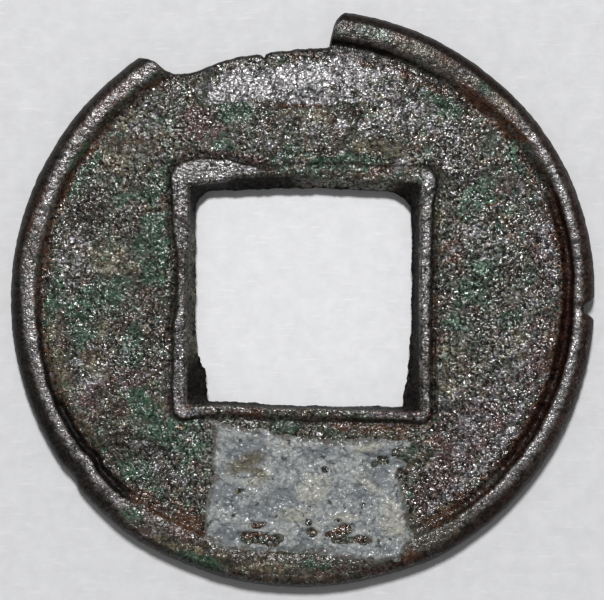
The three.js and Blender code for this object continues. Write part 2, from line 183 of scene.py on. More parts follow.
# The inner rim, at some angles about the hole's centre: the crest's distance from the opening, half the width
# of its flat top, the distance of its foot, its height, and the depth of the groove at the foot
INNER_RIM = {
    0: (0.26, 0.14, 0.56, 0.25, 0.12),
    34: (0.28, 0.18, 0.6, 0.26, 0.12),
    42: (0.34, 0.26, 0.74, 0.22, 0.12),
    48: (0.34, 0.16, 0.64, 0.08, 0.04),
    60: (0.25, 0.1, 0.6, 0.03, 0),
    95: (0.25, 0.1, 0.6, 0.05, 0),
    106: (0.14, 0.04, 0.26, 0.1, 0.06),
    113: (0.28, 0.2, 0.56, 0.16, 0.1),
    120: (0.4, 0.34, 0.84, 0.18, 0.12),
    126: (0.54, 0.46, 1.1, 0.19, 0.1),
    134: (0.5, 0.42, 0.98, 0.2, 0.08),
    142: (0.38, 0.32, 0.78, 0.21, 0.1),
    152: (0.36, 0.3, 0.74, 0.22, 0.12),
    164: (0.24, 0.1, 0.5, 0.23, 0.12),
    184: (0.22, 0.1, 0.48, 0.25, 0.12),
    194: (0.33, 0.2, 0.66, 0.25, 0.12),
    224: (0.35, 0.2, 0.66, 0.24, 0.06),
    232: (0.18, 0.1, 0.46, 0.12, 0.05),
    270: (0.17, 0.1, 0.48, 0.1, 0.08),
    308: (0.2, 0.1, 0.46, 0.14, 0.1),
    320: (0.26, 0.12, 0.54, 0.22, 0.12),
}
INNER_GROOVE_HALF_WIDTH = 0.13

# Broad swells and hollows of the crust on the field: place, half width and height
SWELLS = [
    (-7, 3, 1.5, 0.07), (-8.4, 0.6, 1.1, 0.05), (-9.6, 3.4, 0.9, -0.06), (-6.3, -0.4, 1, -0.05),
    (-8.2, -3.6, 1.3, 0.06), (-6.6, -5.6, 1.1, 0.07), (-8.6, -7, 1, -0.07), (-6.4, 6.4, 1.3, 0.06),
    (-8, 7.2, 0.8, -0.05), (-2.8, 7.4, 1.1, 0.05), (0.4, 6.9, 1.2, 0.07), (3.4, 7, 1.1, 0.06),
    (5.8, 7.8, 1.1, -0.06), (7.4, 5.2, 1.1, 0.05), (9.6, 4.6, 0.9, -0.06), (7.4, 1.2, 1.3, 0.07),
    (9.8, 0.4, 0.9, 0.05), (6.6, -2.2, 1, -0.05), (9, -2.8, 1.3, 0.06), (7, -6.4, 1.2, -0.07),
    (8.6, -5.2, 0.9, 0.05),
]
# The flaked stretch: where its lower side lies, its fall below the crust there, and how much is added, over
# which part of its length, by the torn edge
FLAKED_LOW_SIDE = 8.55
FLAKED_STEP = 0.05
FLAKED_THINNING = 0.22
FLAKED_THINNING_ALONG = (8.5, 11.3)

# Where the outer rim has grown together with the field, for its relief and for its finish: the middle angle
# and the half width
FUSED = (250, 38)
FUSED_TONE = (262, 32)
# Stretches of the outer rim by angle: where the rise starts and ends, and where the fall does
STUB = ((38, 50), (86, 92))
LEFT_RIM = ((105, 125), (190, 205))
# The same for the hole's walls, about the hole's centre
LEFT_WALL = ((140, 150), (206, 214))
CRUSTED_WALL = ((46, 56), (88, 98))
# Where the inner rim's crest is less bright, and where it is darker: angle, half width and share
INNER_CREST_DULL = [(128, 20, 0.2), (325, 22, 0.5), (168, 18, 0.5), (206, 16, 0.3)]
INNER_DARKER = [(168, 18, 0.45), (325, 22, 0.3)]
# The burrs in the hole's lower corners: angle, half width, and how much rougher its edge is there
HOLE_BURRS = [(221, 9, 1.5), (318, 12, 1.5)]

# Noise that wanders along an edge is read on these circles
OUTLINE_CIRCLE = 10
HOLE_CIRCLE = 5

# The lattice that the noise reads
RANDOM = np.random.default_rng(11)
PERMUTATION = RANDOM.permutation(256)
GRADIENTS = RANDOM.normal(size=(256, 3))
GRADIENTS /= np.linalg.norm(GRADIENTS, axis=1, keepdims=True)


def smooth(low, high, value):
    """0 below low, 1 above high, and a smooth step between."""
    share = np.clip((value - low) / (high - low), 0.0, 1.0)
    return share * share * (3 - 2 * share)


def bell(value, half_width):
    return np.exp(-((value / half_width) ** 2))


def towards(first, second, share):
    return first * (1 - share) + second * share


def within(value, rise, fall):
    """1 between a rise and a fall, 0 outside them."""
    return smooth(*rise, value) * (1 - smooth(*fall, value))


def away(degrees, angle):
    """How many degrees an angle lies from another, from -180 to 180."""
    return (degrees - angle + 540) % 360 - 180


def near(degrees, angle, half_width):
    """1 at an angle, falling to 0 on both sides."""
    return bell(away(degrees, angle), half_width)


def by_angle(degrees, values):
    """A value, or a row of values, that runs smoothly round the coin through those given at some angles."""
    angles = np.array(sorted(values), float)
    known = np.array([values[angle] for angle in sorted(values)], float)
    known = known.reshape(len(angles), -1)
    angles = np.concatenate([angles[-1:] - 360, angles, angles[:1] + 360])
    known = np.concatenate([known[-1:], known, known[:1]])
    degrees = np.asarray(degrees) % 360
    after = np.clip(np.searchsorted(angles, degrees, side="right"), 1, len(angles) - 1)
    share = smooth(angles[after - 1], angles[after], degrees)[..., None]
    found = towards(known[after - 1], known[after], share)
    return found[..., 0] if found.shape[-1] == 1 else np.moveaxis(found, -1, 0)


def noise(points, size, seed):
    """Smooth gradient noise, mostly from -1 to 1, with lumps of a size in millimetres."""
    scaled = points / size + seed * 17.31
    base = np.floor(scaled).astype(np.int64)
    part = scaled - base
    ease = part**3 * (part * (part * 6 - 15) + 10)
    total = np.zeros(len(points))
    for corner in itertools.product((0, 1), repeat=3):
        cell = base + corner
        index = PERMUTATION[cell[:, 0] & 255]
        index = PERMUTATION[(index + cell[:, 1]) & 255]
        index = PERMUTATION[(index + cell[:, 2]) & 255]
        rise = (GRADIENTS[index] * (part - corner)).sum(axis=1)
        total += rise * np.where(corner, ease, 1 - ease).prod(axis=1)
    return total * 1.7


def layered(points, size, seed, layers=3):
    """Noise with finer layers added, each half the size and half as strong."""
    total = sum(noise(points, size / 2**layer, seed + layer) / 2**layer for layer in range(layers))
    return total / 1.5


def flat_points(x, y, z=0.0):
    return np.stack([x, y, np.broadcast_to(z, np.shape(x))], axis=-1)


def read_along(value, table, *beyond):
    """A value that runs in straight lines through those of a table."""
    return np.interp(value, list(table), list(table.values()), *beyond)


def polar(points):
    return np.hypot(points[:, 0], points[:, 1]), np.degrees(np.arctan2(points[:, 1], points[:, 0])) % 360


def on_circle(radius, degrees, z=0.0):
    turn = np.radians(degrees)
    return flat_points(radius * np.cos(turn), radius * np.sin(turn), z)


def whole_radius(degrees):
    """The outline's radius as if no rim were broken away."""
    wander = 0.018 * layered(on_circle(OUTLINE_CIRCLE, degrees), 1.6, 3)
    return OUTER_RADIUS + by_angle(degrees, OUTLINE_WEAR) + wander - lost_at(degrees, DENT)


def lost_at(degrees, mark):
    """How deep a notch or dent goes at an angle."""
    apart = np.abs(away(degrees, mark["angle"]))
    return mark["depth"] * (1 - smooth(mark["half_width"] * 0.2, mark["half_width"], apart))


def outline():
    """The outline's points, evenly spaced along it."""
    degrees = np.linspace(0, 360, OUTLINE_SAMPLES, endpoint=False)
    turn = np.radians(degrees)
    torn = read_along(degrees, TORN_EDGE, WHOLE, WHOLE)
    place = on_circle(OUTLINE_CIRCLE, degrees, torn)
    torn = torn + 0.05 * layered(place, 0.7, 5, 4) + 0.03 * layered(place, 0.22, 6, 2)
    radius = np.minimum(whole_radius(degrees) - lost_at(degrees, NOTCH), torn)
    points = np.stack([radius * np.cos(turn), radius * np.sin(turn)], axis=-1)
    closed = np.concatenate([points, points[:1]])
    along = np.concatenate([[0], np.cumsum(np.linalg.norm(np.diff(closed, axis=0), axis=1))])
    wanted = np.arange(STATIONS) / STATIONS * along[-1]
    return np.stack([np.interp(wanted, along, closed[:, axis]) for axis in range(2)], axis=-1)


def hole_loop(degrees, across, along, rounding, roughness, seed):
    """Points of a loop round the square hole, at angles about its centre."""
    turn = np.radians(degrees)
    cos, sin = np.abs(np.cos(turn)), np.abs(np.sin(turn))
    half_x, half_y, arc = by_angle(degrees, across), by_angle(degrees, along), by_angle(degrees, rounding)
    reach = np.minimum(half_x / np.maximum(cos, 1e-6), half_y / np.maximum(sin, 1e-6))
    corner_x, corner_y = half_x - arc, half_y - arc
    to_corner = cos * corner_x + sin * corner_y
    on_arc = to_corner + np.sqrt(np.maximum(to_corner**2 - corner_x**2 - corner_y**2 + arc**2, 0))
    reach = np.where((reach * cos > corner_x) & (reach * sin > corner_y), on_arc, reach)
    place = on_circle(HOLE_CIRCLE, degrees)
    burr = 1 + at_angles(degrees, HOLE_BURRS)
    reach = reach + roughness * burr * (layered(place, 0.7, seed, 4) + 0.4 * noise(place, 0.13, seed + 5))
    return np.stack([HOLE_CENTRE[0] + reach * np.cos(turn), HOLE_CENTRE[1] + reach * np.sin(turn)], axis=-1)


def from_opening(points):
    """A point's distance from the hole's opening and its angle about the hole's centre."""
    x, y = points[:, 0] - HOLE_CENTRE[0], points[:, 1] - HOLE_CENTRE[1]
    degrees = np.degrees(np.arctan2(y, x)) % 360
    beside = np.abs(x) - by_angle(degrees, OPENING_ACROSS)
    beyond = np.abs(y) - by_angle(degrees, OPENING_ALONG)
    outside = np.hypot(np.maximum(beside, 0), np.maximum(beyond, 0))
    wander = 0.06 * layered(points * (1, 1, 0), 0.8, 98, 4) * smooth(0.0, 0.25, outside)
    return outside + wander + np.minimum(np.maximum(beside, beyond), 0), degrees


def rim_inset(points):
    """How far a point lies inside the outline, with a little wander where the rim is worn, and its angle."""
    radius, degrees = polar(points)
    inset = whole_radius(degrees) - radius
    worn = within(inset, (0.3, 0.8), (2.0, 2.6))
    return inset + 0.05 * layered(points * (1, 1, 0), 1.1, 99, 4) * worn, degrees


def ridge(distance, crest, flat, foot, height, groove, groove_width):
    """Height of a rim across its width, down to the groove at its foot. Its outer side is left level."""
    inner = height * (1 - smooth(crest + flat, foot, distance))
    dip = groove * bell(distance - foot - groove_width * 0.6, groove_width)
    return inner - dip


def at_angles(degrees, marks):
    """The sum of what some marks give at an angle, such as the depth of a rim's gaps."""
    return sum(most * near(degrees, angle, half_width) for angle, half_width, most in marks)


def swells(points):
    """Height of the crust's broad swells, which the solid has too."""
    x, y = points.T[:2]
    return sum(height * bell(np.hypot(x - at_x, y - at_y), width) for at_x, at_y, width, height in SWELLS)


def upper_shape(points):
    """Height of the coin's upper face without its edges and its fine relief."""
    inset, degrees = rim_inset(points)
    crest, flat, foot, height, groove, groove_width = by_angle(degrees, RIM)
    rim = ridge(inset, crest, flat, foot, height, groove, groove_width)
    rim = rim - at_angles(degrees, RIM_GAPS) * (1 - smooth(crest + flat, foot, inset))
    outer_side = np.clip(1 - inset / np.maximum(crest - flat, 0.1), 0, 0.999)
    fall = (FIELD_Z + height - EDGE_TOP_Z) * (1 - np.sqrt(1 - outer_side**2))
    sag = 0.05 * np.clip((inset - crest) / 0.4, -1, 1) ** 2 * (1 - smooth(crest + flat, foot, inset))
    distance, about_hole = from_opening(points)
    crest, flat, foot, height, groove = by_angle(about_hole, INNER_RIM)
    inner_rim = ridge(distance, crest, flat, foot, height, groove, INNER_GROOVE_HALF_WIDTH)
    inner_rim = inner_rim - at_angles(about_hole, INNER_RIM_GAPS) * (1 - smooth(crest + flat, foot, distance))
    lip = 0.5 * height * np.clip(1 - distance / np.maximum(crest - flat, 0.06), 0, 1) ** 2
    return FIELD_Z + rim - fall - sag + inner_rim - lip


def flaked_away(points):
    """1 on the stretch at the top where crust has flaked off and left bright metal."""
    x, y = points.T[:2]
    wander = 0.28 * layered(points, 1.5, 71, 4)
    lower_side = smooth(-0.04, 0.04, y - FLAKED_LOW_SIDE + wander - 0.05 * (x - 3) * (x > 3))
    return lower_side * within(x + wander, (-4.4, -3.9), (3.4, 4.6))


def on_rims(points):
    """How far a point lies on the smooth outer rim, and on the inner one: 1 on the rim, 0 on the field."""
    inset, degrees = rim_inset(points)
    foot = by_angle(degrees, RIM)[2]
    outer = 1 - smooth(foot - 0.25, foot + 0.1, inset)
    distance, about_hole = from_opening(points)
    inner_foot, inner_height = by_angle(about_hole, INNER_RIM)[2:4]
    inner = (1 - smooth(inner_foot - 0.1, inner_foot + 0.1, distance)) * smooth(0.05, 0.15, inner_height)
    return outer, inner


def relief(points):
    """The upper face's fine relief: crust, grains and pits on the field, and a fainter grain on the rims."""
    rim = np.maximum(*on_rims(points))
    radius, degrees = polar(points)
    fused = near(degrees, *FUSED) * smooth(9.5, 10.8, radius)
    field = np.clip(1 - rim + 0.6 * fused, 0, 1)
    crust = smooth(-0.05, 0.08, layered(points, 1.3, 41, 4)) - 0.5
    grains = 0.024 * noise(points, 0.6, 45) + 0.018 * noise(points, 0.32, 46) + 0.01 * noise(points, 0.17, 47)
    pits = 0.08 * smooth(0.45, 0.8, noise(points, 0.5, 48))
    bumps = field * (swells(points) + 0.055 * crust + grains - pits)
    worn = (1 - field) * (0.018 * layered(points, 0.9, 50) + 0.01 * noise(points, 0.22, 51))
    flaked = flaked_away(points)
    fall = flaked * (FLAKED_STEP + FLAKED_THINNING * smooth(*FLAKED_THINNING_ALONG, points[:, 1]))
    return bumps * (1 - 0.35 * flaked) + worn - fall * (1 - rim)


def upper_height(points):
    return upper_shape(points) + relief(points)


def lower_height(points):
    """Height of the coin's lower face: its outer rim, which the coin rests on, and the field inside it."""
    radius, degrees = polar(points)
    inset = whole_radius(degrees) - radius
    field = LOWER_FIELD_Z * smooth(LOWER_RIM_WIDTH, LOWER_RIM_WIDTH + LOWER_RIM_SLOPE, inset)
    outer_side = np.clip(1 - inset / LOWER_ROUNDING, 0, 0.999)
    rise = EDGE_LOW_Z * (1 - np.sqrt(1 - outer_side**2))
    rough = 0.03 * layered(points, 1.7, 81) + 0.022 * layered(points, 0.4, 83, 2)
    return np.maximum(field + rise + rough * (0.25 + 0.75 * smooth(0.02, 0.2, field)), 0.0)


def share_of_way(length, steps):
    """Where each row of vertices lies between the hole and the outline: closer together near both."""
    near_hole, near_edge = 1.2, 1.9
    stretch = np.interp(np.linspace(0, 1, steps), [0, 0.19, 0.7, 1.0], [0, 1, 2, 3])[None, :]
    middle = length[:, None] - near_hole - near_edge
    way = sum(np.clip(stretch - at, 0, 1) * width for at, width in enumerate((near_hole, middle, near_edge)))
    return way / length[:, None]


def rounded(points, loop, radius):
    """How far the surface falls towards a worn edge, with a radius for each point of its loop."""
    tree = kdtree.KDTree(len(loop))
    for index, (x, y) in enumerate(loop):
        tree.insert((x, y, 0), index)
    tree.balance()
    fall = np.zeros(len(points))
    for index in np.flatnonzero(np.linalg.norm(points[:, :2], axis=1) > ROUNDED_FROM):
        found, nearest, distance = tree.find((points[index, 0], points[index, 1], 0))
        share = max(0.0, 1 - distance / radius[nearest])
        fall[index] = radius[nearest] * (1 - math.sqrt(1 - min(share, 0.999) ** 2))
    return fall


def torn_share(edge):
    """1 where the outline is the torn edge."""
    radius, degrees = polar(edge)
    return smooth(0.15, 0.4, whole_radius(degrees) - radius)


def face_points(hole, edge, share):
    """Level points in rows between the hole's loop and the outline, each at its share of the way."""
    rows = towards(hole[:, None], edge[:, None], share[..., None])
    return flat_points(rows[..., 0].ravel(), rows[..., 1].ravel())


def side_rows(edge, top_z):
    """The side, from the upper face's edge down to the lower face's, with a slight bulge."""
    along = np.roll(edge, -1, axis=0) - np.roll(edge, 1, axis=0)
    outward = np.stack([along[:, 1], -along[:, 0]], axis=-1) / np.linalg.norm(along, axis=1, keepdims=True)
    fraction = (np.arange(WALL_STEPS) + 1) / (WALL_STEPS + 1)
    foot_z = lower_height(flat_points(edge[:, 0], edge[:, 1]))
    bulge = SIDE_BULGE * np.sin(np.pi * fraction)[None, :, None]
    side = edge[:, None] + outward[:, None] * bulge
    side_z = towards(top_z[:, None], foot_z[:, None], fraction)
    return np.concatenate([side, side_z[..., None]], axis=-1)


def wall_rows(lower, seam, opening, low_z, top_z):
    """The hole's walls, from the lower face up to the seam and on to the opening."""
    low_part = np.linspace(0, 1, WALL_STEPS + 1)[1:, None]
    high_part = np.linspace(0, 1, WALL_STEPS + 2)[1:-1, None]
    lower_wall = towards(lower, seam, low_part[..., None])
    upper_wall = towards(seam, opening, high_part[..., None] ** 0.7)
    wall = np.concatenate([lower_wall, upper_wall])
    wall_z = np.concatenate([towards(low_z, SEAM_Z, low_part), towards(SEAM_Z, top_z, high_part)])
    return np.moveaxis(np.concatenate([wall, wall_z[..., None]], axis=-1), 0, 1)


def casting_grid():
    """The casting's vertices as a closed grid: stations round the coin by steps round its cross-section."""
    edge = outline()
    degrees = polar(edge)[1]
    even = degrees[0] + np.arange(STATIONS) / STATIONS * 360
    unwrapped = np.degrees(np.unwrap(np.radians(degrees)))
    about_hole = 0.8 * unwrapped + 0.2 * even
    opening = hole_loop(about_hole, OPENING_ACROSS, OPENING_ALONG, OPENING_CORNER_ROUNDING, 0.03, 21)
    seam = hole_loop(about_hole, SEAM_ACROSS, SEAM_ALONG, CORNER_ROUNDING, 0.06, 25)
    lower = hole_loop(about_hole, LOWER_ACROSS, LOWER_ALONG, CORNER_ROUNDING, 0.05, 27)

    share = share_of_way(np.linalg.norm(edge - opening, axis=1), TOP_STEPS)
    top = face_points(opening, edge, share)
    top[:, 2] = upper_height(top) - rounded(top, edge, EDGE_ROUNDING + TORN_ROUNDING * torn_share(edge))
    top = top.reshape(STATIONS, TOP_STEPS, 3)
    share = share_of_way(np.linalg.norm(edge - lower, axis=1), LOWER_STEPS)[:, ::-1]
    under = face_points(lower, edge, share)
    under[:, 2] = lower_height(under)
    under = under.reshape(STATIONS, LOWER_STEPS, 3)
    side = side_rows(edge, top[:, -1, 2])
    wall = wall_rows(lower, seam, opening, under[:, -1, 2], top[:, 0, 2])
    return np.concatenate([top, side, under, wall], axis=1)


def grid_normals(grid):
    around = np.roll(grid, -1, axis=0) - np.roll(grid, 1, axis=0)
    across = np.roll(grid, -1, axis=1) - np.roll(grid, 1, axis=1)
    normal = np.cross(across, around)
    return normal / np.maximum(np.linalg.norm(normal, axis=-1, keepdims=True), 1e-9)


def loop_faces(stations, around):
    """Faces of a grid that closes on itself both ways."""
    i = np.arange(stations)[:, None]
    j = np.arange(around)[None, :]
    after_i, after_j = (i + 1) % stations, (j + 1) % around
    corners = (i * around + j, i * around + after_j, after_i * around + after_j, after_i * around + j)
    return np.stack(corners, axis=-1).reshape(-1, 4)


def in_scene(name, data):
    """A new object in the scene, which holds a mesh, a camera or a lamp."""
    made = bpy.data.objects.new(name, data)
    bpy.context.scene.collection.objects.link(made)
    return made


def mesh_from(name, vertices, faces):
    mesh = bpy.data.meshes.new(name)
    mesh.from_pydata((vertices * MM).tolist(), [], faces.tolist())
    mesh.update()
    mesh.polygons.foreach_set("use_smooth", np.ones(len(mesh.polygons), bool))
    return in_scene(name, mesh)


def attribute(made, name, values):
    layer = made.data.attributes.new(name, "FLOAT", "POINT")
    layer.data.foreach_set("value", np.ascontiguousarray(values, dtype=np.float32))


# Patches of colour on the upper face: place, half length, half width and, where there is one, turn
GREEN = [
    (-6.5, 2.3, 2.1, 0.7, 88), (-7.75, 4.35, 0.5, 0.25, 40), (-6.4, 5, 0.9, 0.6, 60), (-3, 8.1, 1, 0.6, 10),
    (-0.7, 6.3, 0.8, 0.4, 40), (0.3, 5.4, 0.7, 0.4), (2.2, 5.9, 1.6, 0.4), (-4.9, -5.2, 0.8, 0.35, -10),
    (-6.9, -4.6, 1.3, 0.5, -35), (-5.7, -6, 1.6, 0.8, -20), (-9.6, -1, 1.3, 0.8, 90),
    (-8.6, 0.2, 1.4, 0.9, 30), (-7.4, -2.2, 1.2, 0.5, 90), (-7.3, -7.4, 1.3, 0.7, -40),
    (-9.4, 5.5, 1.1, 0.6, 60), (-10.7, 0.4, 0.8, 0.3, 90), (10.2, 1.2, 0.7, 0.25, 60),
    (7.6, 0.7, 1.3, 0.8, 70), (6.6, -1.2, 0.8, 0.35), (9, -0.9, 0.7, 0.4, 20), (7.6, 4.4, 1.1, 0.6, 60),
    (9.5, 5.8, 0.9, 0.4, -50), (-0.4, -5.6, 0.4, 0.25), (-4.6, -11.4, 0.9, 0.4, -20), (5.3, 5.1, 0.35, 0.25),
    (6.2, 8.6, 1.2, 0.5, -40), (-3.4, 6.6, 0.5, 0.4), (7.56, 4.25, 0.22, 0.22), (8.88, 3.83, 0.2, 0.2),
    (8.67, 2.99, 0.22, 0.22), (7.21, -1.33, 0.22, 0.22), (-11, -0.4, 0.7, 0.2, 92), (0.4, -11.6, 0.9, 0.25),
    (-7.4, -9.4, 0.8, 0.3, -40), (8, 9.25, 0.6, 0.35, -45), (9.6, 6.5, 0.9, 0.4, -58),
    (-8, 8.3, 1.4, 0.22, 43), (-9.7, 6.1, 1, 0.22, 58), (3.2, 11.6, 0.8, 0.3, -14),
]
RUST = [
    (5.72, -1, 3.6, 0.16, 90), (3, -5.6, 2.6, 0.25, -2), (-8.9, 8, 2.8, 0.3, 42), (-11.2, 1.8, 2.6, 0.25, 80),
    (11.2, 3, 2, 0.22, -80), (10.9, -2, 2.2, 0.25, 78), (9.6, -6, 2.4, 0.3, 52), (6.6, -9.2, 1.8, 0.4, 30),
    (-4.9, -9.8, 1.4, 0.7, -30), (-6.6, -9, 0.9, 0.4, -40), (-1.8, -10.1, 1.1, 0.4), (1.6, -9.9, 1.1, 0.4),
    (3.5, 5.6, 0.9, 0.3), (8.9, 7.6, 1.4, 0.6, -42), (-5, -5, 0.7, 0.3), (5.9, -6.2, 0.7, 0.4, 20),
    (6.7, 1.9, 0.7, 0.5, 90), (7.5, 8.6, 1.2, 0.4, -40), (-2.4, -5, 1, 0.3), (5.6, -5.2, 0.3, 0.5),
    (8.4, 4.1, 0.6, 0.08, 8), (-0.2, 8.4, 1.2, 0.12), (-5.2, -5.6, 0.3, 0.2), (9, -6.8, 1, 0.5, 45),
    (4.9, -11.3, 0.8, 0.3, 20), (4.2, 11.4, 0.7, 0.25, -20), (6.2, 10.5, 0.9, 0.22, -30), (2, 12.1, 0.3, 0.4),
    (-11.5, 4.2, 1.6, 0.3, 70),
]
PURPLE = [
    (7.6, -5.8, 2.4, 1.5, 55), (10.2, -2.6, 1.8, 0.6, 80), (6, -8.4, 1.5, 0.7, 20),
    (10.6, 2.2, 1.8, 0.6, -80), (-2.6, 6.1, 1.4, 0.25, -8), (-5.4, -4.6, 0.6, 0.5), (-8.2, 8.9, 1, 0.4, 45),
    (-4.4, 7.6, 0.9, 0.8), (4.4, -5, 1.6, 0.2), (-7.6, -3.4, 0.9, 0.6), (-9.2, -4.2, 0.9, 0.5, 60),
    (-5.3, 2.6, 2.6, 0.16, 90), (3.2, -11.9, 1, 0.3, 12),
]
OLIVE = [
    (-8.3, 1.6, 1.1, 0.9), (3.3, 6.6, 0.9, 0.6), (0.4, 8.1, 1.1, 0.4), (9.3, -2.1, 0.9, 0.6, 20),
    (-8.4, -2.8, 1.1, 0.8), (-9, -1.4, 0.7, 0.5), (-8.4, 6, 0.8, 0.7), (-6.3, 5.4, 0.7, 0.6),
    (-11, -1.6, 2.4, 0.25, 96), (3.6, 6, 1.1, 0.5), (6.6, -3, 1.4, 0.5, 88), (4.6, 11.2, 2.4, 0.45, -22),
    (-5.2, -10.9, 1.6, 0.3, -25), (-1.6, -11.7, 1.2, 0.25), (-2.3, -8.2, 0.8, 0.35, 24),
    (8.4, 9, 1.6, 0.5, -42), (8.2, 3.35, 0.26, 0.2), (-10.5, -3, 1.4, 0.2, 104), (5.6, 3.4, 0.8, 0.6),
    (-7.6, 8, 0.8, 0.7), (7.2, -8, 1.2, 0.5, 40), (3, 8.6, 1, 0.6), (3, 11.9, 1.5, 0.4, -14),
    (8.6, 8.6, 0.7, 0.3, -48), (6.6, -8.95, 1.5, 0.16, 36), (-9, 7, 2, 0.2, 52),
]
# Bare metal, from the brightest to the dullest
SILVER = [(-0.2, 9.7, 4.2, 1.1, 4), (4.4, 5.9, 0.4, 0.3)]
FAINT_SILVER = [
    (4.6, 8.4, 1.9, 1.2, -35), (6.4, 7.3, 1, 0.7, -45), (2.6, 7.6, 1.4, 0.4), (7.7, 3, 0.8, 0.5, 70),
    (10.8, 1.8, 2, 0.35, -82), (-9.9, 2, 1.4, 0.7, 80), (9.2, -3.2, 1.8, 0.9, 60), (7.4, -5.6, 1.6, 0.8, 60),
]
GREY = [
    (-3.6, 5.9, 1.2, 0.6), (9.8, 4, 0.9, 1.8, 20), (9, -3, 2.2, 1.6, 70), (-10.2, 1, 0.8, 1.2),
    (-6.4, 8.2, 1.6, 0.8, 40), (-8.8, -3.2, 1.8, 1.2), (-0.6, 7.2, 2.6, 0.9), (7, 5.6, 1.4, 0.8, -30),
    (9.8, -0.2, 0.7, 1.4), (-6, -7.4, 1.6, 0.8, -45), (7.6, 2.4, 1.6, 1), (6.8, -4.4, 1.4, 1),
]
# Where the crust is dark, where it is smooth, and where it glitters most
DUSKY = [
    (-9.2, 4, 1.4, 0.8, 70), (-9.95, -3.1, 1.4, 0.1, 100), (-7.9, 3.65, 0.6, 0.1, 35),
    (5.6, 1.2, 1.6, 0.4, 90), (-4.9, 4.9, 0.8, 0.3, 20), (-8.6, -7.2, 1.2, 0.4, -45),
    (-5.4, -1.2, 1.8, 0.3, 90), (-1.6, 5.35, 2.4, 0.2), (6.4, 6.4, 0.9, 0.5, -30), (8.8, -6.2, 1.6, 0.4, 55),
    (1.8, 8.1, 0.8, 0.3), (-8.4, 7.8, 1.8, 0.3, 42), (-7.8, -6.4, 1.3, 0.8), (-3.6, 10.3, 1.6, 0.3, 25),
]
CALM = [
    (-6.6, -5.1, 2.2, 0.7, -10), (-9.2, -4.2, 1.1, 0.6, 60), (-8.2, 1.8, 1, 0.9), (-6.5, 2.2, 2.2, 0.7, 88),
    (0.4, 5.7, 2.4, 0.5), (0, 8.2, 2.4, 0.4), (-10.5, -2.2, 2.4, 0.3, 98), (7.6, 8.9, 2.2, 0.5, -42),
    (-4.8, -9.9, 1.4, 0.5, -25), (1, -5.6, 3.4, 0.3, -4), (8.6, 5, 0.8, 0.6), (-7.6, 6.4, 1, 0.8),
]
GLITTERING = [
    (10.2, 1.6, 2.6, 1.1, -84), (7.6, 0.6, 2.4, 1.8, 90), (8.2, -4.4, 3.2, 1.9, 60), (6, -8, 2, 1.2, 20),
    (7.6, 3.4, 1.6, 1.2), (-5.6, -7.6, 1.6, 1.2, -45), (6.6, 6.4, 1.6, 1, -40), (-7.6, -2.6, 1.4, 1),
]


def patches(points, marks, seed, raggedness=0.45):
    """How strongly any of the marks covers a point, with ragged edges."""
    strongest = np.full(len(points), -3.0)
    for x, y, length, width, *turn in marks:
        angle = math.radians(turn[0]) if turn else 0.0
        cos, sin = math.cos(angle), math.sin(angle)
        dx, dy = points[:, 0] - x, points[:, 1] - y
        along, across = (dx * cos + dy * sin) / length, (dy * cos - dx * sin) / width
        strongest = np.maximum(strongest, 1 - np.sqrt(along**2 + across**2))
    return smooth(-0.35, 0.5, strongest + raggedness * layered(points, 0.7, seed, 3))


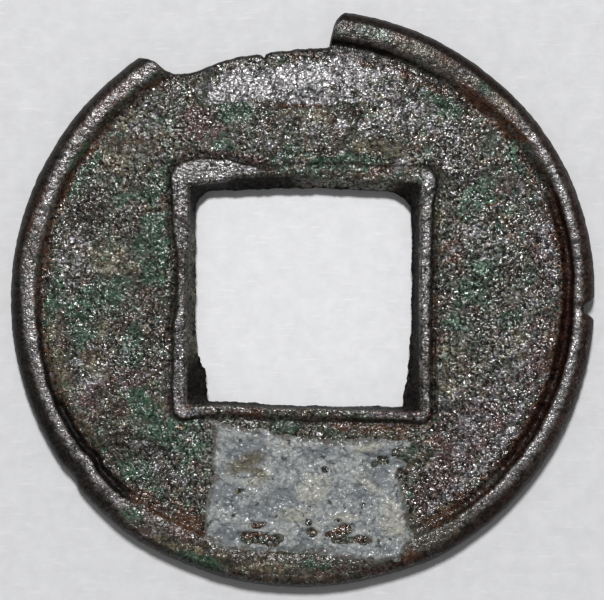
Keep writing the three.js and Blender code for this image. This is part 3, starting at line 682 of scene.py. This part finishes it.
def paint_casting(made, grid, normals):
    """Store where each finish lies on the casting's surface."""
    points = grid.reshape(-1, 3)
    radius = polar(points)[0]
    beyond_hole = radius > 9
    inset, degrees = rim_inset(points)
    distance, about_hole = from_opening(points)
    outer, inner = on_rims(points)
    crest, flat, _, _, _, groove_width = by_angle(degrees, RIM)
    inner_crest, inner_flat, inner_foot, inner_height, _ = by_angle(about_hole, INNER_RIM)
    brightness, outer_shade, groove_from, groove_to, groove_shade = by_angle(degrees, RIM_TONES)
    fused = near(degrees, *FUSED_TONE)

    # The face seen from above, and the sides and walls beside it
    crusted = within(about_hole, *CRUSTED_WALL) * smooth(-0.5, -0.35, distance)
    on_wall = (1 - smooth(-0.08, 0.02, distance)) * (1 - crusted)
    upward = smooth(0.2, 0.5, normals[:, 2]) * (points[:, 2] > 0.7) * (1 - on_wall)
    beside = 1 - upward
    edge = grid[:, TOP_STEPS - 1, :2]
    from_edge = np.linalg.norm(grid[..., :2] - edge[:, None], axis=-1)
    torn = torn_share(edge)[:, None]
    torn_line = ((1 - smooth(0.05, 0.15, from_edge)) * torn).ravel()
    torn_side = ((1 - smooth(0.3, 0.9, from_edge)) * torn).ravel()

    # The worn crests
    on_crest = bell(inset - crest + 0.04, 0.13 + flat) * brightness
    on_inner = bell(distance - inner_crest, 0.1 + inner_flat) * smooth(0.08, 0.2, inner_height)
    for angle, half_width, share in INNER_CREST_DULL:
        on_inner = on_inner * (1 - share * near(about_hole, angle, half_width))

    # Painted shade as a dark band in the outer rim's groove, and the rust beside it or, on the left, in it
    across = inset + 0.06 * layered(points, 0.8, 97, 3)
    groove = smooth(-0.08, 0.06, across - groove_from) * (1 - smooth(-0.06, 0.08, across - groove_to))
    left = within(degrees, *LEFT_RIM)
    wide = groove_width > 0.17
    rust_line = groove_to + np.where(wide, 0.1, -0.06)
    rust_line = rust_line + left * (0.45 * groove_from + 0.55 * groove_to - rust_line)
    rust_width = np.where(wide, 0.12, 0.24)
    rust_width = rust_width + left * (0.27 - rust_width)
    foot_line = bell(across - rust_line, rust_width) * (1 - fused) * (1 - 0.35 * near(degrees, 42, 12))

    silver = np.maximum.reduce([
        patches(points, SILVER, 95),
        0.55 * patches(points, FAINT_SILVER, 98),
        0.35 * patches(points, GREY, 96),
        0.95 * bell(radius - 10.7, 0.32) * near(degrees, 322, 20),
        flaked_away(points) * (1 - 0.4 * smooth(0.6, 2.4, points[:, 0])),
    ])
    # Painted shade in the groove, along the inner rim's foot and along the torn edge; a darker stub and inner
    # crest where listed
    lines = np.maximum.reduce([
        groove * groove_shade, 0.85 * bell(distance - inner_foot - 0.05, 0.1), 0.9 * torn_line,
        0.36 * outer * within(degrees, *STUB), inner * at_angles(about_hole, INNER_DARKER),
    ])
    # Painted shade on the outer slope, and on the sides and the hole's walls beside the upper face
    outer_slope = (1 - smooth(0.6, 1.0, inset / np.maximum(crest - flat, 0.1))) * outer_shade
    side_shade = np.where(beyond_hole, np.maximum(outer_shade, 0.6), 1.0)
    finishes = {
        "green": patches(points, GREEN, 91) * upward,
        "rust": np.maximum(patches(points, RUST, 92), foot_line) * upward,
        "purple": patches(points, PURPLE, 93) * upward,
        "olive": patches(points, OLIVE, 94) * upward,
        "silver": silver * (1 - 0.6 * torn_side) * (1 - outer) * upward,
        "crest": np.maximum(on_crest, on_inner) * upward,
        "dark": np.clip(lines + outer_slope + beside * side_shade, 0, 1),
        "wine": near(degrees, 355, 60) * beyond_hole,
        "wall": np.where(beyond_hole, 0.0, beside * within(about_hole, *LEFT_WALL)),
        "rim": np.maximum(outer * (1 - 0.7 * fused), 0.5 * inner) * upward,
        "dusk": patches(points, DUSKY, 100),
        "calm": np.maximum(patches(points, CALM, 101), fused * smooth(9.9, 10.9, radius)),
        "glitter": patches(points, GLITTERING, 102),
    }
    for name, values in finishes.items():
        attribute(made, name, values)


# Label residue: the box that holds the film, how deep it is sunk into the coin, its sides, and places where
# it is stained, bare, thin, or thick and cream
FILM_BOX = ((-4.8, 5.3), (-12.0, -4.9))
FILM_SUNK = 0.05
FILM_LEFT = {-11.2: -3.9, -10.4: -4.3, -9.3: -4.2, -8: -3.95, -6.6: -3.9, -5.4: -4}
FILM_RIGHT = {-11.3: 4.3, -10.4: 4.85, -9.4: 4.6, -8: 4.35, -7.2: 4.6, -6.2: 4.85, -5.4: 4.7}
FILM_TOP = {-4.3: -5.3, -2.5: -5.6, -1.8: -5.66, -0.1: -6.05, 1.6: -6.2, 2.5: -6.1, 4.8: -6.25}
FILM_BOTTOM = {-4.3: -10.4, -3.4: -10.85, -2.6: -11, 0: -11.1, 1.5: -11.25, 3.2: -11.55, 4.3: -11.4, 4.9: -11}
STAINED = [(-2.5, -7.2, 0.95, 0.36, 24), (-1.9, -7.6, 0.4, 0.2, -20)]
BARE = [
    (-1.65, -10.5, 1.15, 0.26, -4), (1.7, -10.25, 0.7, 0.32, 14), (2.2, -10.55, 0.7, 0.2),
    (-1.9, -9.9, 0.4, 0.16), (0.45, -10.15, 0.3, 0.3), (3.5, -7.1, 0.26, 0.2, -30), (-2.75, -8.42, 0.14, 0.1),
    (1, -7.5, 0.14, 0.12), (3.2, -7.2, 0.2, 0.16, 30), (1.2, -8.9, 0.16, 0.1, -40), (4.5, -6.8, 0.3, 0.4, 70),
    (4.3, -7.7, 0.2, 0.3), (1.6, -9.7, 0.16, 0.09), (0.3, -9.85, 0.16, 0.14, 60), (-3, -9.5, 0.1, 0.08),
    (2.7, -9, 0.1, 0.08),
]
THIN = [
    (-2.4, -6.6, 1, 0.5), (-3.2, -8.6, 0.8, 0.7), (-1, -8.8, 1, 0.6, 30), (3.3, -7.4, 0.7, 0.9),
    (-3.2, -10.3, 0.7, 0.5), (0.2, -10.4, 0.5, 0.5), (2.6, -8.6, 0.6, 0.4), (0.6, -6.8, 0.8, 0.3),
    (4.2, -6.9, 0.5, 0.5), (-0.6, -11, 2, 0.25), (3.6, -10.9, 0.7, 0.3, -10), (-2.2, -9.3, 0.9, 0.3),
]
CREAM = [
    (4.8, -10.6, 0.32, 0.22, 20), (0.6, -8.3, 0.9, 0.6, 30), (3.9, -9.6, 0.5, 0.9), (3, -6.5, 0.7, 0.25),
    (-0.4, -9.4, 0.9, 0.35), (-0.7, -6.2, 0.15, 0.3), (2.9, -8, 0.5, 0.6, 40), (1.9, -9.6, 0.7, 0.3),
    (4.4, -9.9, 0.3, 0.5), (-1.9, -7.9, 0.7, 0.2, 20),
]


def inside_film(points):
    """Distance inside the film's torn outline."""
    x, y = points.T[:2]
    left, right = x - read_along(y, FILM_LEFT), read_along(y, FILM_RIGHT) - x
    above, below = read_along(x, FILM_TOP) - y, y - read_along(x, FILM_BOTTOM)
    return np.minimum.reduce([left, right, above, below]) + 0.16 * layered(points, 0.7, 61, 4)


def film_thickness(points):
    """Thickness of the film over the coin's surface, at most 0 where there is none."""
    edge = inside_film(points)
    body = 0.085 + 0.02 * layered(points, 0.8, 62, 3) + 0.012 * noise(points, 0.2, 64)
    body = body - 0.045 * patches(points, THIN, 65) + 0.07 * patches(points, CREAM, 66, 0.3)
    bare = patches(points, BARE, 67, 0.8)
    return np.minimum(body * smooth(-0.05, 0.25, edge) - 0.16 * bare, edge * 0.6)


def film_piece():
    """The film as a closed sheet on the upper face: a fine grid, its border drawn onto the film's outline."""
    x, y = (np.arange(*ends, FILM_PITCH) for ends in FILM_BOX)
    columns, rows = len(x), len(y)
    grid = flat_points(*(axis.ravel() for axis in np.meshgrid(x, y)))
    thick = film_thickness(grid).reshape(rows, columns)
    slopes = np.gradient(thick, FILM_PITCH)[::-1]
    steep = np.maximum(slopes[0] ** 2 + slopes[1] ** 2, 0.02)
    reach = 0.7 * FILM_PITCH
    for axis, slope in enumerate(slopes):
        step = np.clip(-thick * slope / steep, -reach, reach)
        grid[:, axis] += np.where(thick <= 0, step, 0).ravel()
    corner = np.arange(rows * columns).reshape(rows, columns)
    cells = np.stack([corner[:-1, :-1], corner[:-1, 1:], corner[1:, 1:], corner[1:, :-1]], axis=-1)
    cells = cells.reshape(-1, 4)
    kept = cells[(thick.ravel()[cells] > 0).any(axis=1)]
    used, faces = np.unique(kept, return_inverse=True)
    faces = faces.reshape(-1, 4)
    place = grid[used]
    surface = upper_height(place)
    upper = np.column_stack([place[:, :2], surface + np.maximum(thick.ravel()[used], 0)])
    lower = np.column_stack([place[:, :2], surface - FILM_SUNK])
    edges = np.concatenate([faces[:, [k, (k + 1) % 4]] for k in range(4)])
    keys = edges.min(axis=1) * len(used) + edges.max(axis=1)
    found, first, counts = np.unique(keys, return_index=True, return_counts=True)
    border = edges[first[counts == 1]]
    count = len(used)
    sides = np.column_stack([border[:, 1], border[:, 0], border[:, 0] + count, border[:, 1] + count])
    faces = np.concatenate([faces, faces[:, ::-1] + count, sides])
    made = mesh_from("label_film", np.concatenate([upper, lower]), faces)
    finishes = {
        "cream": patches(place, CREAM, 66, 0.3),
        "thin": patches(place, THIN, 65),
        "stained": patches(place, STAINED, 68),
        "border": 1 - smooth(0.0, 0.5, inside_film(place)),
    }
    for name, values in finishes.items():
        attribute(made, name, np.tile(values, 2))
    return made


class Value:
    """What a node gives. It adds, subtracts and multiplies as a number does."""

    def __init__(self, shader, socket):
        self.shader = shader
        self.socket = socket

    def __add__(self, other):
        return self.shader.maths("ADD", self, other)

    def __sub__(self, other):
        return self.shader.maths("SUBTRACT", self, other)

    def __rsub__(self, other):
        return self.shader.maths("SUBTRACT", other, self)

    def __mul__(self, other):
        return self.shader.maths("MULTIPLY", self, other)


class Shader:
    """A material's node tree, with short ways to add what the finishes need."""

    def __init__(self, name):
        self.material = bpy.data.materials.new(name)
        self.material.use_nodes = True
        self.tree = self.material.node_tree
        self.place = self.add("TexCoord", "Object")

    def put(self, socket, value):
        """Set a socket to a number or a colour, or link it to what another node gives."""
        if isinstance(value, Value):
            self.tree.links.new(value.socket, socket)
        elif socket.type == "RGBA":
            socket.default_value = (*value, 1.0)
        else:
            socket.default_value = value

    def add(self, kind, output, inputs=None, **settings):
        """Add a node with its settings and inputs, and return one of its outputs."""
        made = self.tree.nodes.new("ShaderNode" + kind)
        for name, value in settings.items():
            setattr(made, name, value)
        for name, value in (inputs or {}).items():
            self.put(made.inputs[name], value)
        return Value(self, made.outputs[output])

    def finish(self, inputs):
        """Set or link the surface's own inputs, and return the material."""
        for name, value in inputs.items():
            self.put(self.tree.nodes["Principled BSDF"].inputs[name], value)
        return self.material

    def noise(self, per_mm, detail=1.0, roughness=0.5, along_x=1.0):
        """Noise about 0.5 with lumps of a millimetre over per_mm, drawn out along X by an along_x below 1."""
        place = self.add("VectorMath", 0, {0: self.place, 1: (along_x, 1.0, 1.0)}, operation="MULTIPLY")
        inputs = {"Vector": place, "Scale": per_mm / MM, "Detail": detail, "Roughness": roughness}
        return self.add("TexNoise", "Fac", inputs)

    def pebbles(self, per_mm, warp):
        """Rounded bumps side by side: 1 on their tops, falling to the gaps, with a warp in millimetres."""
        wander = self.add("TexNoise", "Color", {"Vector": self.place, "Scale": 0.7 * per_mm / MM})
        shift = {0: wander, 1: (4 * warp * MM,) * 3, 2: self.place}
        place = self.add("VectorMath", 0, shift, operation="MULTIPLY_ADD")
        inputs = {"Vector": place, "Scale": per_mm / MM, "Smoothness": 0.25}
        return 1.0 - self.maths("POWER", self.add("TexVoronoi", "Distance", inputs, feature="SMOOTH_F1"), 2.0)

    def spots(self, per_mm):
        """Round spots about a millimetre over per_mm apart: 0.55 in a spot, 0 between."""
        apart = self.add("TexVoronoi", "Distance", {"Vector": self.place, "Scale": per_mm / MM})
        return self.span(apart + self.noise(4.0, 3.0, 0.6) * 0.4, 0.36, 0.44, 0.55, 0.0)

    def veins(self, per_mm):
        """Thin crooked lines: 0.8 on a line, 0 beside it."""
        return self.span(self.maths("ABSOLUTE", self.noise(per_mm, 5.0, 0.6) - 0.5), 0.004, 0.012, 0.8, 0.0)

    def mask(self, name):
        return self.add("Attribute", "Fac", attribute_name=name)

    def maths(self, operation, *values):
        return self.add("Math", 0, dict(enumerate(values)), operation=operation)

    def span(self, value, low, high, to_low=0.0, to_high=1.0):
        """What runs from one value to another while the given value runs from low to high."""
        return self.add("MapRange", 0, dict(enumerate((value, low, high, to_low, to_high))))

    def blend(self, share, first, second):
        return self.span(share, 0.0, 1.0, first, second)

    def mix(self, share, first, second):
        """Mix two colours."""
        return self.add("Mix", 2, {0: share, 6: first, 7: second}, data_type="RGBA")

    def scale(self, colour, factor):
        return self.add("VectorMath", 0, {0: colour, "Scale": factor}, operation="SCALE")

    def flecks(self, mask, fleck_noise, threshold, most=0.85):
        """A mask broken into flecks, which cover more of the surface where the mask is stronger."""
        return self.span(fleck_noise + mask * 0.3, threshold - 0.03, threshold + 0.13, 0.0, most)

    def bump(self, height, distance, strength=1.0, beneath=None):
        inputs = {"Distance": distance * MM, "Strength": strength, "Height": height}
        if beneath:
            inputs["Normal"] = beneath
        return self.add("Bump", 0, inputs)


# Colours of the bronze, from its crust to its bare metal
CRUST_GREEN = (0.061, 0.073, 0.051)
CRUST_BROWN = (0.08, 0.049, 0.031)
CRUST_PALE = (0.095, 0.095, 0.07)
CRUST_BLACK = (0.035, 0.019, 0.011)
RIM_BROWN = (0.052, 0.04, 0.036)
# Each kind of patch: its colour, how many flecks lie along a millimetre, and how thin they lie
PATCH_LOOKS = {
    "olive": ((0.14, 0.124, 0.076), 1.9, 0.62),
    "green": ((0.034, 0.084, 0.05), 1.5, 0.6),
    "purple": ((0.088, 0.046, 0.047), 1.8, 0.62),
    "rust": ((0.075, 0.027, 0.009), 1.9, 0.62),
}
DUSK = (0.028, 0.022, 0.014)
SPOT_TEAL = (0.03, 0.085, 0.062)
VEIN_RED = (0.03, 0.012, 0.007)
# Painted shade: in the gaps between the pebbles, and in the grooves, on the outer slopes, the sides and the
# hole's walls
GAP_SHADE = (0.021, 0.015, 0.009)
SHADE = (0.011, 0.0095, 0.009)
SHADE_WINE = (0.02, 0.006, 0.004)
SHADE_OLIVE = (0.046, 0.044, 0.03)
METAL = (0.235, 0.227, 0.237)
METAL_ON_RIM = (0.236, 0.22, 0.225)


def bronze_material():
    shader = Shader("patinated_bronze")
    noise, mask, span, blend, mix = shader.noise, shader.mask, shader.span, shader.blend, shader.mix
    rim, dark, wall, silvered = mask("rim"), mask("dark"), mask("wall"), mask("silver")
    off_rim = 1.0 - rim
    rough = span(noise(0.8, 3.0, 0.6) + mask("glitter") * 0.14 - mask("calm") * 0.16, 0.4, 0.58)
    grain = noise(15.0, 0.5)
    pebbles = shader.pebbles(7.4, 0.07)

    # Light and dark, from the grain, the pebbles and a broader mottle: the grain and the pebbles give painted
    # shade, darker where their bumps are low
    uneven = grain * 0.14 + pebbles * 0.42 + noise(1.6, 5.0, 0.65) * 0.6
    contrast = blend(rim, blend(rough, 4.4, 7.9), 4.2)
    contrast = span(silvered, 0.4, 1.0, contrast, 5.2)
    tone = shader.maths("EXPONENT", (uneven - blend(rim, 0.738, 0.72)) * contrast)

    colour = mix(span(noise(1.1, 4.0, 0.65), 0.46, 0.62), CRUST_GREEN, CRUST_BROWN)
    colour = mix(span(noise(1.9, 3.0, 0.6), 0.5, 0.62, 0.0, 0.7), colour, CRUST_PALE)
    colour = mix(span(noise(1.3, 4.0, 0.6), 0.54, 0.62, 0.0, 0.6), colour, CRUST_BLACK)
    colour = mix(rim * 0.7, colour, RIM_BROWN)
    for name, (tint, per_mm, threshold) in PATCH_LOOKS.items():
        colour = mix(shader.flecks(mask(name), noise(per_mm, 3.0, 0.6), threshold), colour, tint)
    colour = mix(mask("dusk") * 0.75, colour, DUSK)
    colour = mix(shader.spots(1.3) * off_rim, colour, SPOT_TEAL)
    colour = mix(shader.veins(0.8) * off_rim, colour, VEIN_RED)
    # Painted shade in the gaps between the pebbles
    gaps = span(pebbles, 0.45, 0.72, 0.9, 0.0) * blend(rough, 0.3, 1.0) * span(silvered, 0.4, 1.0, 1.0, 0.85)
    colour = mix(gaps * off_rim, colour, GAP_SHADE)
    # Painted shade where the dark mask lies, in SHADE, wine-tinted towards the right and olive on the hole's
    # left wall
    colour = mix(dark * 0.97, colour, mix(wall, mix(mask("wine"), SHADE, SHADE_WINE), SHADE_OLIVE))

    silver = shader.flecks(silvered, noise(2.6, 4.0, 0.6), 0.62)
    crest = shader.flecks(mask("crest"), noise(4.5, 3.0, 0.65), 0.62)
    metal = shader.maths("MAXIMUM", silver, crest) * span(dark, 0.2, 1.0, 1.0, 0.0)
    colour = mix(metal, colour, mix(rim, METAL, METAL_ON_RIM))

    steep = blend(rim, blend(rough, 0.5, 0.88), 0.36) * span(dark, 0.3, 1.0, 1.0, 0.3)
    steep = steep * span(silvered, 0.4, 1.0, 1.0, 0.8)
    normal = shader.bump(grain, 0.02, 1.0, shader.bump(pebbles, 0.066, steep))
    glaze = span(pebbles, 0.6, 0.9, 0.25, 1.0) * blend(rough, 0.4, 1.0)
    return shader.finish({
        "Base Color": shader.scale(colour, tone),
        "Metallic": metal,
        "Roughness": 0.45,
        "Specular IOR Level": 0.1,
        "Normal": normal,
        "Coat Weight": glaze * (1.0 - dark * blend(wall, 0.98, 0.7)),
        "Coat Roughness": blend(rim, 0.13, 0.27),
        "Coat IOR": 2.0,
        "Coat Normal": normal,
    })


# Colours of the label residue
FILM_BLUE = (0.18, 0.198, 0.215)
FILM_PALE = (0.335, 0.35, 0.335)
FILM_WHITE = (0.44, 0.455, 0.45)
FILM_CREAM = (0.44, 0.425, 0.345)
FILM_THIN = (0.14, 0.158, 0.172)
# Painted shade between the film's lumps
FILM_GAP_SHADE = (0.1, 0.11, 0.12)
SOILED = ((0.075, 0.055, 0.045), (0.08, 0.09, 0.075))
FILM_STAIN = (0.105, 0.09, 0.055)
FILM_PIT = (0.05, 0.045, 0.04)


def residue_material():
    shader = Shader("label_residue")
    noise, mask, span, mix, flecks = shader.noise, shader.mask, shader.span, shader.mix, shader.flecks
    fibres = noise(9.0, 3.0, 0.6)
    lumps = shader.pebbles(5.4, 0.1)
    blotch = noise(2.2, 5.0, 0.7)
    colour = mix(span(blotch, 0.38, 0.6), FILM_BLUE, FILM_PALE)
    colour = mix(span(fibres, 0.42, 0.62, 0.0, 0.6), colour, FILM_WHITE)
    colour = mix(flecks(mask("cream"), noise(4.5, 4.0, 0.65), 0.62, 0.6), colour, FILM_CREAM)
    colour = mix(flecks(mask("thin"), noise(4.8, 4.0, 0.65), 0.63, 0.75), colour, FILM_THIN)
    # Painted shade between the lumps
    colour = mix(span(lumps, 0.4, 0.75, 0.62, 0.0), colour, FILM_GAP_SHADE)
    border = flecks(mask("border"), noise(3.0, 5.0, 0.7), 0.66)
    colour = mix(border, colour, mix(span(blotch, 0.45, 0.55), *SOILED))
    colour = mix(mask("stained") * 0.85, colour, FILM_STAIN)
    colour = mix(span(noise(2.8, 3.0, 0.6), 0.63, 0.68, 0.0, 0.9), colour, FILM_PIT)
    normal = shader.bump(fibres, 0.012, 1.0, shader.bump(lumps, 0.045))
    return shader.finish({
        "Base Color": colour,
        "Roughness": 0.6,
        "Specular IOR Level": 0.2,
        "Normal": normal,
        "Coat Weight": span(lumps, 0.7, 0.95, 0.0, 0.8),
        "Coat Roughness": 0.18,
        "Coat IOR": 1.6,
        "Coat Normal": normal,
    })


def finish_piece(made, material, node):
    made.data.materials.append(material)
    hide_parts(node)
    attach(made, "root")


def casting_piece():
    grid = casting_grid()
    normals = grid_normals(grid).reshape(-1, 3)
    points = grid.reshape(-1, 3)
    wall = points[:, 2] < FIELD_Z - 0.2
    rough = np.where(wall, 0.02 * noise(points, 0.45, 31) + 0.014 * noise(points, 0.22, 32), 0)
    points = points + normals * rough[:, None]
    points[:, 2] = np.maximum(points[:, 2], 0)
    made = mesh_from("coin_surface", points, loop_faces(*grid.shape[:2]))
    paint_casting(made, points.reshape(grid.shape), normals)
    return made


def paper_floor():
    bpy.ops.mesh.primitive_plane_add(size=2.0, location=(0, 0, 0))
    floor = bpy.context.object
    floor.name = "paper"
    shader = Shader("paper")
    clouds = shader.span(shader.noise(1.2, 6.0, 0.7), 0.3, 0.7)
    colour = shader.mix(clouds, (0.675, 0.677, 0.687), (0.765, 0.767, 0.782))
    fibres = shader.span(shader.noise(5.0, 3.0, 0.6, 0.14), 0.58, 0.72, 0.0, 0.55)
    colour = shader.mix(fibres, colour, (0.84, 0.84, 0.85))
    # Painted light: the paper in the hole is made a little brighter
    from_middle = shader.add("VectorMath", "Value", {0: shader.place}, operation="LENGTH")
    hole_painted_light = shader.span(from_middle, 7 * MM, 9 * MM, 1.13, 1.0)
    floor.data.materials.append(shader.finish({"Base Color": shader.scale(colour, hole_painted_light), "Roughness": 0.9}))


def camera():
    """Straight above the coin, far enough for its side to show as little as in the photo."""
    data = bpy.data.cameras.new("camera")
    made = in_scene("camera", data)
    bpy.context.scene.camera = made
    data.lens, data.sensor_width, data.clip_start = 200.0, 36.0, 0.01
    x, y = VIEW_CENTRE
    above = PHOTO_WIDTH_PX / PX_PER_MM * data.lens / data.sensor_width
    made.location = (x * MM, y * MM, (above + FIELD_Z) * MM)


def lamp(name, place, size, power):
    """A round lamp that faces the coin, with its place and size in metres."""
    data = bpy.data.lights.new(name, "AREA")
    data.shape, data.size, data.energy = "DISK", size, power
    made = in_scene(name, data)
    made.location = place
    made.rotation_mode = "QUATERNION"
    made.rotation_quaternion = (Vector((0, 0, 0)) - Vector(place)).to_track_quat("-Z", "Y")


def world():
    made = bpy.data.worlds.new("world")
    made.use_nodes = True
    background = made.node_tree.nodes["Background"]
    background.inputs["Color"].default_value = (1, 1, 1, 1)
    background.inputs["Strength"].default_value = 0.2
    bpy.context.scene.world = made


finish_piece(casting_piece(), bronze_material(), "coin_casting")
finish_piece(film_piece(), residue_material(), "label_residue")
paper_floor()
camera()
lamp("key", place=(-0.01, 0.155, 0.318), size=0.06, power=1.06)
world()
bpy.context.scene.view_settings.view_transform = "Standard"
